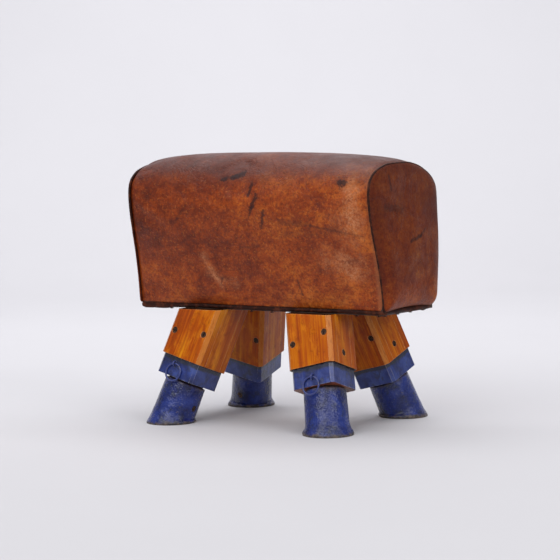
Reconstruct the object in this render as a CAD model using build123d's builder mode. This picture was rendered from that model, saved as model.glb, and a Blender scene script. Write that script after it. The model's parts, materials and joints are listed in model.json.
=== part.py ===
"""Pommel horse cut down to stool height: a padded leather body on four splayed wooden legs.

Millimetres, +Z up. The origin is on the floor under the middle of the body, X runs along the body
and -Y is the front. Each leg stands in an iron foot and carries a ring that swings on a staple.
"""

from math import cos, radians, sin
import os

from build123d import *

os.makedirs("parts", exist_ok=True)

# Legs: splay is the sideways run for each unit of height.
foot_spread_x = 336
foot_spread_y = 260
splay_x = 0.272
splay_y = 0.312
sleeve_side = 90
sleeve_chamfer = 6.5
sleeve_board = 22
sleeve_start = 115
block_side = 82
block_chamfer = 5
block_start = 79
post_clearance = 0.3
spigot_radius = 32.5
spigot_start = 26

# Iron feet
foot_top = 76.5
foot_bore = 33
foot_floor = 24
foot_lip = 2.5
foot_flare = 18
foot_wall_radius = 38.6
foot_top_radius = 37.2
# The flare by height up the leg, radius, and its turn from level to square with the leg.
foot_flare_profile = ((0, 44, 0), (4, 44.8, 0), (8, 42.8, 0.15), (13, 39.9, 0.55))

# Rings and staples
ring_wire = 3.2
ring_radius = 15.8
staple_wire = 3
staple_radius = 3.8
staple_depth = 14
ring_stand_off = 2.3
# Places of the staples on the blocks: across the face, and height up the leg.
staple_places = {
    "front_left": (-7, 102),
    "front_right": (1.5, 95),
    "back_left": (0, 98),
    "back_right": (0, 98),
}

# Fasteners
screw_head_radius = 5.5
screw_shank_radius = 2.75
screw_length = 42
screw_recess = 0.4
slot_width = 1.5
slot_depth = 1.3
slot_first_turn = 35
slot_turn_step = 50
hole_clearance = 0.15
# Places of the sleeve screws: across the face, and height up the leg.
wide_board_screws = ((-32, 159), (32, 169))
narrow_board_screws = ((-2, 138),)
foot_screw_length = 20
foot_screw_height = 38
bolt_radius = 4
bolt_length = 85
bolt_head_across_flats = 13
bolt_head_height = 5.5
bolt_spread = 12
bolt_inset = 5
bolt_seat_height = 216
spot_face_radius = 9
tack_head_radius = 3.5
tack_head_height = 1.2
tack_shank_radius = 0.9
tack_length = 13
tack_taper = 30
tack_pitch = 44
tacks_along = 12
tacks_across = 4
tack_leg_clearance = 56

# Body: the leather outline is a trapezium with rounded shoulders, lowest at its ends.
base_low = 205
base_thickness = 20
edging_height = 8
edging_flange = 2
edging_flange_width = 16
leather = 3
half_length = 258
half_bottom = 90
half_shoulder = 131
shoulder_radius = 56
crown_middle = 484
crown_quarter = 480.5
crown_end = 464
crown_quarter_place = 0.64
piping_width = 5
piping_proud = 1.5
piping_depth = 5
panel_puff = 18
panel_edge_radius = 15
padding_gap = 0.3

# Wooden frame inside the body
frame_half_length = 236
frame_end_thickness = 18
frame_board = 15
frame_half_bottom = 81
frame_half_waist = 97
frame_waist = 400
frame_half_top = 68
frame_top = 440
frame_shoulder_depth = 22
frame_screw_from_edge = 28
frame_screw_from_base = 45
frame_screw_from_waist = 40
frame_screw_spread = 40
socket_gap = 1

sleeve_half = sleeve_side / 2
base_high = base_low + base_thickness
leather_low = base_low + edging_height
base_half_width = half_bottom - leather
seam_inner = half_length - piping_width / 2
seam_outer = half_length + piping_width / 2
base_half_length = seam_inner - 1
edging_half_length = seam_outer + leather
leg_reach = 400
leg_top = foot_spread_x / 2 - splay_x * base_low

legs = {
    "front_left": (-1, -1),
    "front_right": (1, -1),
    "back_left": (-1, 1),
    "back_right": (1, 1),
}
# The way each foot's fixing screw faces, as the angle from +X about the vertical.
foot_screw_angle = {"front_left": 0, "front_right": 90, "back_left": 270, "back_right": 180}


def save(part, name):
    part.label = name
    export_step(part, f"parts/{name}.step")


# Fasteners


def screw_holes(planes, length=screw_length):
    """Countersunk holes for slotted screws, cut in the part being built."""
    with Locations(*planes):
        CounterSinkHole(
            radius=screw_shank_radius + hole_clearance,
            counter_sink_radius=screw_head_radius + screw_recess + hole_clearance,
            depth=length + screw_recess + hole_clearance,
        )


def slotted_screws(planes, length=screw_length):
    """Slotted countersunk screws, one for each plane, with their heads a little below it."""
    head_height = screw_head_radius - screw_shank_radius
    with BuildPart() as screws:
        for count, plane in enumerate(planes):
            seat = plane.offset(-screw_recess)
            with BuildSketch(seat):
                Circle(screw_head_radius)
            with BuildSketch(seat.offset(-head_height)):
                Circle(screw_shank_radius)
            loft()
            with BuildSketch(seat.offset(-head_height)):
                Circle(screw_shank_radius)
            extrude(amount=head_height - length)
            with BuildSketch(seat):
                turn = slot_first_turn + slot_turn_step * count
                Rectangle(3 * screw_head_radius, slot_width, rotation=turn)
            extrude(amount=-slot_depth, mode=Mode.SUBTRACT)
    return screws.part


def leg_screws(sleeve_screws, foot_screw):
    """A leg's sleeve screws and the shorter screw that fixes its foot."""
    with BuildPart() as screws:
        add(slotted_screws(sleeve_screws))
        add(slotted_screws([foot_screw], foot_screw_length))
    return screws.part


def coach_screws(planes):
    """Hexagon-headed screws that hold the legs to the base board."""
    with BuildPart() as screws:
        for plane in planes:
            with BuildSketch(plane):
                RegularPolygon(bolt_head_across_flats / 2, 6, major_radius=False)
            extrude(amount=bolt_head_height)
            with BuildSketch(plane):
                Circle(bolt_radius)
            extrude(amount=-bolt_length)
    return screws.part


# Legs


def leg_plane(side_x, side_y):
    """Plane at the middle of a foot's underside, its Z up the leg and its X along the body."""
    up = Vector(-side_x * splay_x, -side_y * splay_y, 1).normalized()
    place = (side_x * foot_spread_x / 2, side_y * foot_spread_y / 2, 0)
    return Plane(origin=place, x_dir=Vector(1, 0, 0) - up * up.X, z_dir=up)


def face_plane(leg, outward, side, across, height):
    """Plane on a leg's face: outward is its normal and side its distance from the leg's axis."""
    sideways = leg.z_dir.cross(outward)
    origin = leg.origin + outward * side + sideways * across + leg.z_dir * height
    return Plane(origin=origin, x_dir=sideways, z_dir=outward)


def sleeve_screw_planes(leg, side_x):
    """Sleeve screws by face: two through each wide board, one through the outer side board."""
    front, right = leg.y_dir * -1, leg.x_dir
    faces = {
        "front": (front, wide_board_screws),
        "back": (front * -1, wide_board_screws),
        "left": (right * -1, narrow_board_screws if side_x < 0 else ()),
        "right": (right, narrow_board_screws if side_x > 0 else ()),
    }
    return {
        face: [face_plane(leg, outward, sleeve_half, *place) for place in places]
        for face, (outward, places) in faces.items()
    }


def bolt_planes(leg, side_y):
    """Seats of a leg's two coach screws, sunk in the top of the base board."""
    seat = leg.offset(bolt_seat_height / leg.z_dir.Z)
    inward = seat.y_dir * -side_y * bolt_inset
    return [
        Plane(origin=seat.origin + inward + seat.x_dir * end * bolt_spread, z_dir=leg.z_dir)
        for end in (-1, 1)
    ]


def foot_screw_plane(leg, name):
    """Plane on the wall of the foot where its fixing screw sits."""
    turn = radians(foot_screw_angle[name])
    level = Vector(cos(turn), sin(turn), 0)
    outward = (level - leg.z_dir * level.dot(leg.z_dir)).normalized()
    return face_plane(leg, outward, foot_wall_radius - screw_recess, 0, foot_screw_height)


def ring_pivot(leg, side_y, across, height):
    """Plane at the ring's pivot: X along the hinge, Y up the leg's face, Z away from the face."""
    outward = leg.y_dir * side_y
    uphill = (Vector(0, 0, 1) - outward * outward.Z).normalized()
    origin = leg.origin + leg.x_dir * across + leg.z_dir * height
    origin += outward * (block_side / 2 + ring_stand_off)
    return Plane(origin=origin, x_dir=uphill.cross(outward), z_dir=outward)


def sleeve_board_part(leg, face, screws):
    """One of the four boards of a sleeve, cut level where it meets the base board."""
    direction = 1 if face in ("back", "right") else -1
    middle = direction * (sleeve_half - sleeve_board / 2)
    with BuildPart() as board:
        with BuildSketch(leg.offset(sleeve_start)):
            if face in ("front", "back"):
                with Locations((0, middle)):
                    Rectangle(sleeve_side, sleeve_board)
                outer = vertices().group_by(Axis.Y)[-1 if face == "back" else 0]
                chamfer(outer, length=sleeve_chamfer)
            else:
                with Locations((middle, 0)):
                    Rectangle(sleeve_board, sleeve_side - 2 * sleeve_board)
        extrude(amount=base_low)
        split(bisect_by=Plane.XY.offset(base_low), keep=Keep.BOTTOM)
        screw_holes(screws)
    return board.part


def staple_holes(pivot):
    """The two holes that a ring's staple is driven into."""
    with BuildPart() as holes:
        with BuildSketch(pivot.offset(-ring_stand_off)):
            with Locations((0, staple_radius), (0, -staple_radius)):
                Circle(staple_wire / 2 + hole_clearance)
        extrude(amount=-staple_depth - hole_clearance)
    return holes.part


def leg_block(leg, pivot):
    """Painted block below the sleeve, bored for the post and pinned to it by the staple."""
    with BuildPart() as block:
        with BuildSketch(leg.offset(block_start)):
            Rectangle(block_side, block_side)
            chamfer(vertices(), length=block_chamfer)
            Circle(spigot_radius + post_clearance, mode=Mode.SUBTRACT)
        extrude(amount=sleeve_start - block_start)
        add(staple_holes(pivot), mode=Mode.SUBTRACT)
    return block.part


def leg_post(leg, screws, bolts, foot_screw, pivot):
    """Post that is square inside the sleeve and turned round through the block and the foot."""
    post_side = sleeve_side - 2 * sleeve_board - 2 * post_clearance
    with BuildPart() as post:
        with BuildSketch(leg.offset(sleeve_start)):
            Rectangle(post_side, post_side)
        extrude(amount=base_low)
        split(bisect_by=Plane.XY.offset(base_low), keep=Keep.BOTTOM)
        with BuildSketch(leg.offset(spigot_start)):
            Circle(spigot_radius)
        extrude(amount=sleeve_start - spigot_start)
        screw_holes(screws)
        with Locations(*bolts):
            Hole(radius=bolt_radius + hole_clearance, depth=bolt_length + hole_clearance)
        screw_holes([foot_screw], foot_screw_length)
        add(staple_holes(pivot), mode=Mode.SUBTRACT)
    return post.part


def iron_foot(leg, foot_screw):
    """Cast cup that leans with the leg and flares to a round base, flat on the floor."""
    with BuildPart() as foot:
        for height, radius, turned in (*foot_flare_profile, (foot_flare, foot_wall_radius, 1)):
            up = (Vector(0, 0, 1) * (1 - turned) + leg.z_dir * turned).normalized()
            middle = leg.origin + leg.z_dir * height
            with BuildSketch(Plane(origin=middle, x_dir=leg.x_dir - up * up.dot(leg.x_dir), z_dir=up)):
                Circle(radius)
        loft()
        with BuildSketch(leg.offset(foot_flare)):
            Circle(foot_wall_radius)
        with BuildSketch(leg.offset(foot_top)):
            Circle(foot_top_radius)
        loft()
        top_rim = edges().filter_by(GeomType.CIRCLE).sort_by(Axis(leg.origin, leg.z_dir))[-1]
        fillet(top_rim, radius=foot_lip)
        with BuildSketch(leg.offset(foot_floor)):
            Circle(foot_bore)
        extrude(amount=foot_top, mode=Mode.SUBTRACT)
        screw_holes([foot_screw], foot_screw_length)
    return foot.part


def ring_staple(pivot):
    """U of wire driven into the block, one leg above the ring's wire and one below it."""
    tip = -ring_stand_off - staple_depth
    side = Plane(origin=pivot.origin, x_dir=pivot.z_dir, z_dir=pivot.x_dir)
    with BuildPart() as staple:
        with BuildLine(side) as path:
            Line((tip, staple_radius), (0, staple_radius))
            ThreePointArc((0, staple_radius), (staple_radius, 0), (0, -staple_radius))
            Line((0, -staple_radius), (tip, -staple_radius))
        with BuildSketch(Plane(origin=path.line @ 0, z_dir=path.line % 0)):
            Circle(staple_wire / 2)
        sweep()
    return staple.part


def swinging_ring(pivot):
    """Round ring that hangs from the staple, flat along the block at rest."""
    with BuildPart() as ring:
        with BuildSketch(Plane(origin=pivot.origin, x_dir=pivot.y_dir, z_dir=pivot.x_dir)):
            Circle(ring_wire / 2)
        revolve(axis=Axis(pivot.origin - pivot.y_dir * ring_radius, pivot.z_dir))
    return ring.part


def build_legs():
    for name, (side_x, side_y) in legs.items():
        leg = leg_plane(side_x, side_y)
        pivot = ring_pivot(leg, side_y, *staple_places[name])
        screws = sleeve_screw_planes(leg, side_x)
        every_screw = [plane for planes in screws.values() for plane in planes]
        foot_screw = foot_screw_plane(leg, name)
        for face in screws:
            fitting = screws[face] if face in ("front", "back") else every_screw
            save(sleeve_board_part(leg, face, fitting), f"{name}_sleeve_{face}")
        save(leg_screws(every_screw, foot_screw), f"{name}_screws")
        post = leg_post(leg, screws["left"] + screws["right"], bolt_planes(leg, side_y), foot_screw, pivot)
        save(post, f"{name}_post")
        save(leg_block(leg, pivot), f"{name}_block")
        save(iron_foot(leg, foot_screw), f"{name}_foot")
        save(ring_staple(pivot), f"{name}_staple")
        save(swinging_ring(pivot), f"{name}_ring")


def build_shared_fasteners():
    bolts = [plane for side in legs.values() for plane in bolt_planes(leg_plane(*side), side[1])]
    save(coach_screws(bolts), "leg_coach_screws")
    save(slotted_screws(frame_screw_planes()), "frame_screws")
    save(edging_tacks(), "edging_tacks")


# Wooden frame inside the body


def frame_outline(place, grow=0):
    """Outline of the frame across the body at X = place, larger all round by grow."""
    right = (
        (frame_half_bottom + grow, base_high),
        (frame_half_waist + grow, frame_waist),
        (frame_half_top + grow, frame_top + grow),
    )
    left = [(-across, height) for across, height in reversed(right)]
    with BuildSketch(Plane.YZ.offset(place)) as outline:
        Polygon(*right, *left, align=None)
    return outline.sketch


def frame_screw_planes():
    """Screws through the end boards into the long boards, and up through the base board."""
    across_top = frame_half_top - frame_screw_from_edge
    low, high = base_high + frame_screw_from_base, frame_waist - frame_screw_from_waist
    lean = (frame_half_waist - frame_half_bottom) / (frame_waist - base_high)
    middle_of_side = frame_half_bottom - frame_board / 2
    places = [(end * across_top, frame_top - frame_board / 2) for end in (-1, 1)]
    for height in (low, high):
        across = middle_of_side + lean * (height - base_high)
        places += [(-across, height), (across, height)]
    planes = []
    for side in (-1, 1):
        for across, height in places:
            origin = (side * frame_half_length, across, height)
            planes.append(Plane(origin=origin, z_dir=(side, 0, 0)))
        end_middle = side * (frame_half_length - frame_end_thickness / 2)
        for across in (-frame_screw_spread, frame_screw_spread):
            planes.append(Plane(origin=(end_middle, across, base_low), z_dir=(0, 0, -1)))
        planes.append(Plane(origin=(0, side * middle_of_side, base_low), z_dir=(0, 0, -1)))
    return planes


def frame_end(side):
    inner = side * (frame_half_length - frame_end_thickness)
    with BuildPart() as board:
        extrude(frame_outline(inner), amount=side * frame_end_thickness)
        screw_holes(frame_screw_planes())
    return board.part


def frame_long_board(*corners):
    """Board between the frame's end boards, with the given corners in the Y-Z plane."""
    between_ends = frame_half_length - frame_end_thickness
    with BuildPart() as board:
        with BuildSketch(Plane.YZ):
            Polygon(*corners, align=None)
        extrude(amount=between_ends, both=True)
        screw_holes(frame_screw_planes())
    return board.part


def build_frame():
    for name, side in (("left", -1), ("right", 1)):
        save(frame_end(side), f"frame_end_{name}")
    for name, side in (("front", -1), ("back", 1)):
        low_outer = (side * frame_half_bottom, base_high)
        low_inner = (side * (frame_half_bottom - frame_board), base_high)
        waist_outer = (side * frame_half_waist, frame_waist)
        waist_inner = (side * (frame_half_waist - frame_board), frame_waist)
        top_outer = (side * frame_half_top, frame_top)
        top_inner = (side * frame_half_top, frame_top - frame_shoulder_depth)
        save(frame_long_board(low_outer, waist_outer, waist_inner, low_inner), f"frame_side_{name}")
        save(frame_long_board(waist_outer, top_outer, top_inner, waist_inner), f"frame_shoulder_{name}")
    low = frame_top - frame_board
    wide = frame_half_top
    save(frame_long_board((-wide, low), (wide, low), (wide, frame_top), (-wide, frame_top)), "frame_top")
    save(base_board(), "base_board")


def base_board():
    with BuildPart() as board:
        with BuildSketch(Plane.XY.offset(base_low)):
            Rectangle(2 * base_half_length, 2 * base_half_width)
        extrude(amount=base_thickness)
        screw_holes(frame_screw_planes())
        for side in legs.values():
            above = 2 * base_thickness
            tops = [seat.offset(above) for seat in bolt_planes(leg_plane(*side), side[1])]
            with Locations(*tops):
                CounterBoreHole(bolt_radius + hole_clearance, spot_face_radius, above, 2 * leg_reach)
        with Locations(*tack_planes()):
            Hole(radius=tack_shank_radius + hole_clearance, depth=tack_length + hole_clearance)
    return board.part


# Upholstery


def arch_outline(place, crown, inset, low=leather_low):
    """Outline of the body at X = place, set in from the outside of the leather by inset."""
    with BuildSketch(Plane.YZ.offset(place)) as outline:
        Polygon(
            (-half_bottom + inset, low),
            (half_bottom - inset, low),
            (half_shoulder - inset, crown - inset),
            (-half_shoulder + inset, crown - inset),
            align=None,
        )
        fillet(outline.vertices().group_by(Axis.Y)[-1], radius=shoulder_radius - inset)
    return outline.sketch


def body_form(inset):
    """Crowned form of the body between its two seams, set in from the leather by inset."""
    near_end = crown_quarter_place * seam_inner
    stations = (
        (-seam_inner, crown_end),
        (-near_end, crown_quarter),
        (0, crown_middle),
        (near_end, crown_quarter),
        (seam_inner, crown_end),
    )
    with BuildPart() as form:
        loft([arch_outline(place, crown, inset).face() for place, crown in stations])
    return form.part


def leather_cover():
    """The one panel that wraps the front, top and back."""
    outside = body_form(0)
    inside = body_form(leather)
    with BuildPart() as cover:
        add(outside)
        add(inside, mode=Mode.SUBTRACT)
    return cover.part


def body_padding():
    """Felt and horsehair between the wooden frame and the leather."""
    form = body_form(leather + padding_gap)
    with BuildPart() as padding:
        add(form)
        split(bisect_by=Plane.XY.offset(base_high), keep=Keep.TOP)
        hollow = frame_outline(0, padding_gap)
        extrude(hollow, amount=frame_half_length + padding_gap, both=True, mode=Mode.SUBTRACT)
    return padding.part


def puffed_form(side, inset):
    """Cushion-like form of an end panel beyond its seam, set in from the leather by inset."""
    with BuildPart() as form:
        outline = arch_outline(side * seam_outer, crown_end, inset, leather_low + inset)
        extrude(outline, amount=side * (panel_puff - inset))
        rim = form.faces().sort_by(Axis.X)[-1 if side > 0 else 0]
        fillet(rim.edges(), radius=panel_edge_radius - inset)
    return form.part


def end_panel(side):
    """Leather end panel, a shallow dish with its hollow side to the padding."""
    outside = puffed_form(side, 0)
    inside = puffed_form(side, leather)
    with BuildPart() as panel:
        add(outside)
        add(inside, mode=Mode.SUBTRACT)
    return panel.part


def end_padding(side):
    """Felt that fills an end panel and reaches in through the piping."""
    form = puffed_form(side, leather + padding_gap)
    with BuildPart() as pad:
        add(form)
        inset = piping_depth + padding_gap
        through = arch_outline(side * seam_inner, crown_end, inset, leather_low + piping_depth)
        extrude(through, amount=side * piping_width)
    return pad.part


def piping(side):
    """Welt of rolled leather sewn into the seam around an end panel."""
    with BuildPart() as welt:
        extrude(arch_outline(side * seam_inner, crown_end, -piping_proud), amount=side * piping_width)
        inside = arch_outline(side * seam_inner, crown_end, piping_depth)
        extrude(inside, amount=side * piping_width, mode=Mode.SUBTRACT)
    return welt.part


def leg_socket(side):
    """Prism a little wider than a leg's sleeve, along the leg."""
    socket_side = sleeve_side + 2 * socket_gap
    with BuildPart() as socket:
        with BuildSketch(leg_plane(*side)):
            Rectangle(socket_side, socket_side)
        extrude(amount=leg_reach)
    return socket.part


def bottom_edging():
    """Dark leather strip around the base board, turned under it and cut away at the legs."""
    sockets = [leg_socket(side) for side in legs.values()]
    with BuildPart() as edging:
        with BuildSketch(Plane.XY.offset(base_low - edging_flange)):
            Rectangle(2 * edging_half_length, 2 * half_bottom)
        extrude(amount=edging_flange)
        with BuildSketch(Plane.XY.offset(base_low - edging_flange)):
            Rectangle(
                2 * (base_half_length - edging_flange_width),
                2 * (base_half_width - edging_flange_width),
            )
        extrude(amount=edging_flange, mode=Mode.SUBTRACT)
        add(sockets, mode=Mode.SUBTRACT)
        with BuildSketch(Plane.XY.offset(base_low)):
            Rectangle(2 * edging_half_length, 2 * half_bottom)
            Rectangle(2 * base_half_length, 2 * base_half_width, mode=Mode.SUBTRACT)
        extrude(amount=edging_height)
        with Locations(*tack_planes()):
            Hole(radius=tack_shank_radius + hole_clearance, depth=tack_length)
    return edging.part


def tack_places(count):
    """Evenly spaced places along one side of the base board, about its middle."""
    return [(step - (count - 1) / 2) * tack_pitch for step in range(count)]


def tack_planes():
    """Undersides of the edging's tacks, spaced round the base board clear of the legs."""
    line_x = base_half_length - edging_flange_width / 2
    line_y = base_half_width - edging_flange_width / 2
    low = base_low - edging_flange
    planes = []
    for place in tack_places(tacks_along):
        if abs(abs(place) - leg_top) < tack_leg_clearance:
            continue
        for side in (-1, 1):
            planes.append(Plane(origin=(place, side * line_y, low), z_dir=(0, 0, -1)))
    for place in tack_places(tacks_across):
        for side in (-1, 1):
            planes.append(Plane(origin=(side * line_x, place, low), z_dir=(0, 0, -1)))
    return planes


def edging_tacks():
    """Round-headed tacks that hold the edging up to the base board."""
    with BuildPart() as tacks:
        for plane in tack_planes():
            with BuildSketch(plane):
                Circle(tack_head_radius)
            extrude(amount=tack_head_height, taper=tack_taper)
            with BuildSketch(plane):
                Circle(tack_shank_radius)
            extrude(amount=-tack_length)
    return tacks.part


def build_upholstery():
    save(body_padding(), "body_padding")
    save(leather_cover(), "leather_cover")
    save(bottom_edging(), "bottom_edging")
    for name, side in (("left", -1), ("right", 1)):
        save(end_padding(side), f"end_padding_{name}")
        save(end_panel(side), f"end_panel_{name}")
        save(piping(side), f"piping_{name}")


build_legs()
build_frame()
build_upholstery()
build_shared_fasteners()
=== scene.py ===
"""Looks of the pommel horse: stuffed leather body, varnished sleeves, painted blocks and iron feet.

Metres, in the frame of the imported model: the floor is Z = 0 and -Y is the front.
"""

import json
from math import cos, pi, radians, sin
from typing import NamedTuple

import bpy
import numpy as np
from mathutils import Matrix, Vector, noise


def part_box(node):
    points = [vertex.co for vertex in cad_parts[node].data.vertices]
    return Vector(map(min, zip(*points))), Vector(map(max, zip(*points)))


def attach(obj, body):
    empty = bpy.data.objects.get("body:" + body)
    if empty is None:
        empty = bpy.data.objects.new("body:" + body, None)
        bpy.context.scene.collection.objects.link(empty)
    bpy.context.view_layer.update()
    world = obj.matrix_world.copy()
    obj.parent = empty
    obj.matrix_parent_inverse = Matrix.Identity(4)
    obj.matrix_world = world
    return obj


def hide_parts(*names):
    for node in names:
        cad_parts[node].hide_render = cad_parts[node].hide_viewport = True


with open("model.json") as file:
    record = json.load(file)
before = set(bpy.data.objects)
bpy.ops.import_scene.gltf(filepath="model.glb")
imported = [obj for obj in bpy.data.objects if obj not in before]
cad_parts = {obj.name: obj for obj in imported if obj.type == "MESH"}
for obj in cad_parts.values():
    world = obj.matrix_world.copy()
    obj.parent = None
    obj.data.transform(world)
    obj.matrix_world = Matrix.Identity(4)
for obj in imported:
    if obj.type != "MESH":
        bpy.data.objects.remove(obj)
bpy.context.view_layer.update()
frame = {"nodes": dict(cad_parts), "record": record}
nodes = frame["nodes"]
LEGS = ("front_left", "front_right", "back_left", "back_right")

# Body measures. Each half outline of a seam is (out from the middle, up from the leather's lower edge).
cover_low, cover_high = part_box("leather_cover")
BASE = cover_low.z
SEAM = cover_high.x + 0.0025
SEAM_FRONT = (
    (0.0885, 0.0), (0.0935, 0.043), (0.1035, 0.092), (0.1145, 0.133), (0.1225, 0.174), (0.1245, 0.203),
    (0.1190, 0.223), (0.1020, 0.238), (0.0760, 0.247), (0.0530, 0.2505), (0.0180, 0.2515), (0.0, 0.2515),
)
SEAM_BACK = (
    (0.0740, 0.0), (0.0855, 0.012), (0.0910, 0.043), (0.0990, 0.092), (0.1055, 0.133), (0.1085, 0.174),
    (0.1065, 0.203), (0.0985, 0.217), (0.0860, 0.2275), (0.0660, 0.2375), (0.0420, 0.246), (0.0180, 0.2505),
    (0.0, 0.2515),
)
SEAM_TOP = SEAM_FRONT[-1][1]
SHOULDER = 0.203
CROWN_RISE = 0.0176
CROWN_ROUNDNESS = 0.55
SIDE_SWELL = 0.004
LEATHER_THICKNESS = 0.0024
# How far the cover draws in at its seams, and over what distance.
TUCK_DEPTH = 0.0036
TUCK_WIDTH = 0.014
# The end panels: width of the rounded edge, the middle as (y, height), how far the edge sits behind the
# seam, the extra fullness of the middle, and the lift of the lower edge.
PANEL_EDGE = 0.036
PANEL_MIDDLE = (0.0, 0.118)
PANEL_SUNK = 0.0012
PANEL_DOME = 0.004
LOWER_LIFT = 0.004
# The welts: radius, and the depth and heights at which the left one is sunk into its seam.
PIPING = 0.0022
WELT_SUNK = 0.0032
WELT_SHOWS = (0.09, 0.17)
SIDES = (("left", -1), ("right", 1))


class End(NamedTuple):
    """How one end of the body differs from the other."""

    beyond: float  # The seam beyond the CAD one
    lean: float  # How far the seam leans in at the shoulder
    low_puff: float  # Fullness of the end panel low down
    high_puff: float  # Fullness of the end panel at the shoulder
    fall: float  # How late the crown falls towards the seam, as a power


ENDS = {-1: End(0.0029, 0.0061, 0.0070, 0.006, 7.0), 1: End(0.0, 0.007, 0.0158, 0.0076, 2.5)}

# How finely the pieces are cut: columns and rows, rings and points, and points and sides. The share of an end
# panel's points that is on its lower edge, and how much closer points stand near the seams, as powers.
COVER_GRID = (101, 132)
PANEL_GRID = (40, 168)
PIPING_GRID = (360, 12)
CURVE_STEPS = 24
LOWER_SHARE = 0.24
COVER_CROWDING = 1.35
PANEL_CROWDING = 1.45

# The edging: corner radius, spacing of points, thickness, and how far its edge and flange hang down.
STRIP_CORNER = 0.006
STRIP_SPACING = 0.004
STRIP_THICKNESS = 0.0012
STRIP_DROP = 0.0072
FLANGE_DROP = 0.0088
# The flap that sags at the front left: its drop, and where along X it begins and ends.
FLAP_DROP = 0.0035
FLAP_BEGINS = (-0.262, -0.25)
FLAP_ENDS = (-0.205, -0.18)

# The cloth settle: pressure of the stuffing, the furthest that a point moves, and how near the seams and the
# lower edge the leather is held.
STUFFING = 3.0
MOST_MOVE = 0.004
SETTLE_FRAMES = 20
HELD_BY_SEAM = (0.004, 0.012)
HELD_BY_EDGE = (0.001, 0.006)


# Meshes


def smooth(low, high, value):
    """0 below low, 1 above high and a soft step between them."""
    share = np.clip((value - low) / (high - low), 0, 1)
    return share * share * (3 - 2 * share)


def resample(points, count):
    """Evenly spaced points along a smooth curve through the given ones."""
    points = np.array(points, float)
    padded = np.vstack((2 * points[:1] - points[1:2], points, 2 * points[-1:] - points[-2:-1]))
    fine = []
    for a, b, c, d in zip(padded, padded[1:], padded[2:], padded[3:]):
        square, cube = 2 * a - 5 * b + 4 * c - d, 3 * b - a - 3 * c + d
        for t in np.linspace(0, 1, CURVE_STEPS, endpoint=False):
            fine.append(0.5 * (2 * b + (c - a) * t + square * t**2 + cube * t**3))
    fine.append(padded[-2])
    fine = np.array(fine)
    along = np.concatenate(([0], np.cumsum(np.linalg.norm(np.diff(fine, axis=0), axis=1))))
    places = np.linspace(0, along[-1], count)
    return np.stack([np.interp(places, along, fine[:, axis]) for axis in range(fine.shape[1])], axis=1)


def rumple(points, scale, seed):
    """Smooth noise from -1 to 1 at each point."""
    shift = Vector((seed * 7.3, seed * 3.1, seed * 5.7))
    return np.array([noise.noise(Vector(p) * scale + shift) for p in points])


def rumples(points, *layers):
    """Layers of smooth noise added together, each given as (height, scale, seed)."""
    return sum(height * rumple(points, scale, seed) for height, scale, seed in layers)


def add_object(name, data):
    thing = bpy.data.objects.new(name, data)
    bpy.context.scene.collection.objects.link(thing)
    return thing


def add_mesh(name, vertices, faces, material):
    mesh = bpy.data.meshes.new(name)
    mesh.from_pydata([tuple(v) for v in vertices], [], faces)
    mesh.validate()
    mesh.polygons.foreach_set("use_smooth", [True] * len(mesh.polygons))
    mesh.materials.append(material)
    return add_object(name, mesh)


def mesh_piece(name, vertices, faces, material):
    piece = add_mesh(name, vertices, faces, material)
    return piece


def grid_faces(rows, columns, wrap_rows=False, wrap_columns=False):
    """Quads between points held row by row."""
    faces = []
    for i in range(rows if wrap_rows else rows - 1):
        for j in range(columns if wrap_columns else columns - 1):
            a, b = i * columns, (i + 1) % rows * columns
            k = (j + 1) % columns
            faces.append((a + j, b + j, b + k, a + k))
    return faces


def seam_x(height, side):
    """Distance of a seam from the middle. The seams lean in towards the shoulders."""
    end = ENDS[side]
    return SEAM + end.beyond - end.lean * smooth(0, SHOULDER, height)


def swell_at(t):
    """Fullness of the cover: 1 in the middle and 0 at the seams, with t from -1 to 1."""
    return max(1 - abs(t) ** ENDS[-1 if t < 0 else 1].fall, 0) ** CROWN_ROUNDNESS


def arch(count):
    """The seam's outline over the body from its front lower edge to the back one, as (y, height)."""
    front, back = resample(SEAM_FRONT, count // 2 + 1), resample(SEAM_BACK, count // 2 + 1)
    return np.vstack((front * (-1, 1), back[-2::-1]))


def normals_2d(outline, closed=False):
    """Outward unit normals of an outline in the Y-Z plane."""
    if closed:
        along = np.roll(outline, -1, axis=0) - np.roll(outline, 1, axis=0)
    else:
        along = np.gradient(outline, axis=0)
    normal = np.stack((-along[:, 1], along[:, 0]), axis=1)
    return normal / np.linalg.norm(normal, axis=1)[:, None]


def cover_points(columns, rows):
    """Points of the cover before it is creased, and its outline's outward normals."""
    outline = arch(rows)
    normal = normals_2d(outline)
    steps = np.linspace(-1, 1, columns)
    stations = np.sign(steps) * (1 - (1 - abs(steps)) ** COVER_CROWDING)
    points = []
    for t in stations:
        swell = swell_at(t)
        line = outline.copy()
        above = np.clip(line[:, 1] - SHOULDER, 0, None)
        line[:, 1] += above * CROWN_RISE * swell / (SEAM_TOP - SHOULDER)
        side = abs(normal[:, 0])
        level = smooth(0, 0.05, line[:, 1])
        line[:, 0] += np.sign(normal[:, 0]) * side * SIDE_SWELL * swell * level
        x = t * seam_x(line[:, 1], -1 if t < 0 else 1)
        from_seam = (1 - abs(t)) * SEAM
        tuck = TUCK_DEPTH * (1 - smooth(0, TUCK_WIDTH, from_seam)) ** 1.5
        line -= normal * tuck
        points.append(np.stack((x, line[:, 0], BASE + line[:, 1]), axis=1))
    return np.array(points), normal


def gap_to_seam(points):
    """Distance of each point along the body from the nearer seam."""
    height = points[:, 2] - BASE
    return np.minimum(seam_x(height, 1) - points[:, 0], seam_x(height, -1) + points[:, 0])


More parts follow.
